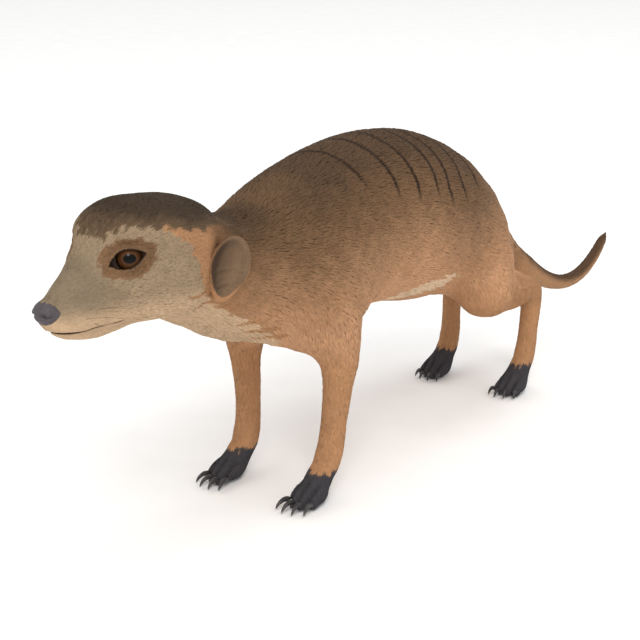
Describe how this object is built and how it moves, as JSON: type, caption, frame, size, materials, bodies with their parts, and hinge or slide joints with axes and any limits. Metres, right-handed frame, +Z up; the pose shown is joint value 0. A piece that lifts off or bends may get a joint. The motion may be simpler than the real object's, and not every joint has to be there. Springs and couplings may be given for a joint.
{
  "type": "meerkat",
  "caption": "Life-size still meerkat standing on its feet, head held low and forward, back arched and the thin tail curling up behind.",
  "frame": {"origin": "on the ground under the middle of the animal's length, in its middle plane", "axes": "+Z up, -Y the way the animal faces, +X the animal's left"},
  "size_m": [0.0694, 0.3928, 0.1288],
  "materials": {
    "coat": "short dense fur, tan with dark brown back stripes",
    "pale_coat": "short cream fur",
    "foot_coat": "very short charcoal fur",
    "ear_skin": "thin grey-brown skin with sparse fur",
    "nose_skin": "bare moist dark skin",
    "claw_horn": "dark satin horn",
    "eyeball": "wet dark brown eye"
  },
  "bodies": {
    "root": {"eye_left": "eyeball", "eye_right": "eyeball", "nose": "nose_skin", "ear_left": "ear_skin", "ear_right": "ear_skin", "fore_claw_left_1": "claw_horn", "fore_claw_right_1": "claw_horn", "fore_claw_left_2": "claw_horn", "fore_claw_right_2": "claw_horn", "fore_claw_left_3": "claw_horn", "fore_claw_right_3": "claw_horn", "fore_claw_left_4": "claw_horn", "fore_claw_right_4": "claw_horn", "hind_claw_left_1": "claw_horn", "hind_claw_right_1": "claw_horn", "hind_claw_left_2": "claw_horn", "hind_claw_right_2": "claw_horn", "hind_claw_left_3": "claw_horn", "hind_claw_right_3": "claw_horn", "hind_claw_left_4": "claw_horn", "hind_claw_right_4": "claw_horn", "lower_jaw": "pale_coat", "head": "coat", "forepaw_left": "foot_coat", "forepaw_right": "foot_coat", "forearm_left": "coat", "forearm_right": "coat", "upper_arm_left": "coat", "upper_arm_right": "coat", "hindpaw_left": "foot_coat", "hindpaw_right": "foot_coat", "hindfoot_left": "coat", "hindfoot_right": "coat", "shank_left": "coat", "shank_right": "coat", "thigh_left": "coat", "thigh_right": "coat", "tail_tip": "coat", "tail_middle": "coat", "tail_root": "coat", "neck": "coat", "rump": "coat", "trunk": "coat"}
  },
  "joints": []
}
